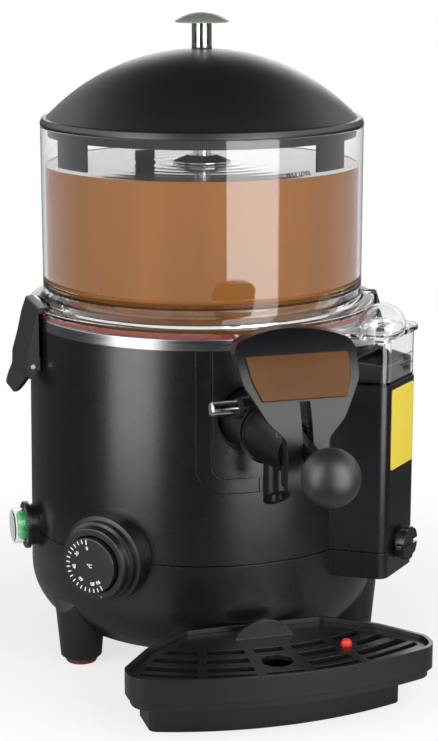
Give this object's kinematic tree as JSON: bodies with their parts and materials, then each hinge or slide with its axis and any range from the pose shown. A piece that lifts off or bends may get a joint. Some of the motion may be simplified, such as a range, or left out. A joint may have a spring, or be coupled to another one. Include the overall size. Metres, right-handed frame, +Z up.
{
  "type": "hot chocolate dispenser",
  "caption": "Countertop drink dispenser: clear heated bowl with stirrer and domed lid on a round base, lever tap, side water cup, dial, switch and drip tray",
  "frame": {"origin": "point on the bench below the axis of the round base and bowl", "axes": "+X to the machine's right seen from its front, -Y toward its front where the tap is, +Z up"},
  "size_m": [0.2922, 0.4363, 0.465],
  "materials": {
    "body_black": "satin moulded plastic, fine grain",
    "lid_black": "matt moulded plastic",
    "tray_black": "satin moulded plastic",
    "tap_black": "semi-gloss moulded plastic",
    "dial_black": "satin with white printed scale",
    "bowl_clear": "clear polycarbonate",
    "cup_clear": "clear plastic",
    "insert_black": "matt",
    "steel": "brushed",
    "chrome": "polished",
    "knob_green": "matt",
    "gasket_red": "silicone",
    "seal_dark": "rubber",
    "pad_red": "rubber",
    "label_brown": "gloss",
    "notice_yellow": "printed film",
    "float_red": "gloss",
    "switch_green": "translucent",
    "switch_clear": "clear silicone cap",
    "motor_metal": "cast",
    "white_plastic": "matt"
  },
  "bodies": {
    "machine": {"base_shell": "body_black", "body_shell": "body_black", "front_panel": "body_black", "bottom_cover": "body_black", "foot_pads": "pad_red", "pan_head_screws": "steel", "bain_marie_tank": "steel", "heating_element": "steel", "safety_cutout": "white_plastic", "outlet_elbow": "steel", "water_pipe": "steel", "shaft_seals": "seal_dark", "bowl": "bowl_clear", "bowl_gaskets": "gasket_red", "gear_motor": "motor_metal", "motor_bracket": "steel", "tap_root": "tap_black", "tap_body": "tap_black", "lock_pin": "chrome", "lock_collar": "seal_dark", "pivot_pin": "steel", "shield_plate": "tap_black", "label_plate": "label_brown", "dial_bezel": "dial_black", "thermostat": "white_plastic", "switch_housing": "dial_black", "switch_body": "white_plastic", "switch_cap": "switch_clear", "water_cup": "cup_clear", "cup_insert": "insert_black", "drain_fitting": "dial_black", "notice_panel": "notice_yellow", "latch_pins": "steel", "cable_gland": "dial_black", "terminal_block": "white_plastic"},
    "lid": {"lid": "lid_black", "lid_skirt": "lid_black", "knob_post": "chrome", "knob_nut": "steel", "knob_cap": "knob_green"},
    "stirrer": {"stirrer_column": "chrome", "stirrer_disc": "chrome", "stirrer_paddle": "steel", "drive_shaft": "steel", "shaft_coupling": "steel", "output_shaft": "steel"},
    "tap_piston": {"piston": "white_plastic", "piston_rings": "seal_dark"},
    "tap_lever": {"lever": "tap_black", "ball_knob": "tap_black"},
    "dial": {"dial_knob": "dial_black", "dial_shaft": "steel"},
    "rocker": {"switch_rocker": "switch_green"},
    "left_latch": {"latch_left": "tap_black"},
    "right_latch": {"latch_right": "tap_black"},
    "cup_cover": {"cup_lid": "cup_clear"},
    "drain_plug": {"drain_cap": "dial_black"},
    "tray": {"drip_tray": "tray_black"},
    "grid": {"tray_grid": "tray_black"},
    "level_float": {"tray_float": "float_red"}
  },
  "joints": [
    {"name": "lid_lift", "type": "slide", "parent": "machine", "child": "lid", "axis": [0, 0, 1], "range_m": [0, 0.08]},
    {"name": "stirrer_spin", "type": "hinge", "parent": "machine", "child": "stirrer", "pos_m": [0, 0, 0.2], "axis": [0, 0, 1], "continuous": true},
    {"name": "lever_lift", "type": "hinge", "parent": "machine", "child": "tap_lever", "pos_m": [0, -0.218, 0.207], "axis": [-1, 0, 0], "range_deg": [0, 50]},
    {"name": "piston_travel", "type": "slide", "parent": "machine", "child": "tap_piston", "axis": [0, -1, 0], "range_m": [0, 0.01015]},
    {"name": "dial_turn", "type": "hinge", "parent": "machine", "child": "dial", "pos_m": [-0.1079, -0.1042, 0.0944], "axis": [-0.7193, -0.6947, 0], "range_deg": [0, 205]},
    {"name": "rocker_tilt", "type": "hinge", "parent": "machine", "child": "rocker", "pos_m": [-0.1375, 0, 0.093], "axis": [0, 1, 0], "range_deg": [-6, 6]},
    {"name": "left_latch_swing", "type": "hinge", "parent": "machine", "child": "left_latch", "pos_m": [-0.133, 0, 0.2183], "axis": [0, -1, 0], "range_deg": [0, 22]},
    {"name": "right_latch_swing", "type": "hinge", "parent": "machine", "child": "right_latch", "pos_m": [0.133, 0, 0.2183], "axis": [0, 1, 0], "range_deg": [0, 22]},
    {"name": "cup_lid_lift", "type": "slide", "parent": "machine", "child": "cup_cover", "axis": [0, 0, 1], "range_m": [0, 0.04]},
    {"name": "drain_cap_turn", "type": "hinge", "parent": "machine", "child": "drain_plug", "pos_m": [0.1167, -0.12085, 0.094], "axis": [0.6947, -0.7193, 0], "range_deg": [0, 90]},
    {"name": "tray_slide", "type": "slide", "parent": "machine", "child": "tray", "axis": [0, -1, 0], "range_m": [0, 0.12]},
    {"name": "grid_lift", "type": "slide", "parent": "tray", "child": "grid", "axis": [0, 0, 1], "range_m": [0, 0.05]},
    {"name": "float_rise", "type": "slide", "parent": "tray", "child": "level_float", "axis": [0, 0, 1], "range_m": [0, 0.025]}
  ],
  "couplings": [
    {"joint": "piston_travel", "follows": "lever_lift", "m_per_rad": 0.01162}
  ]
}
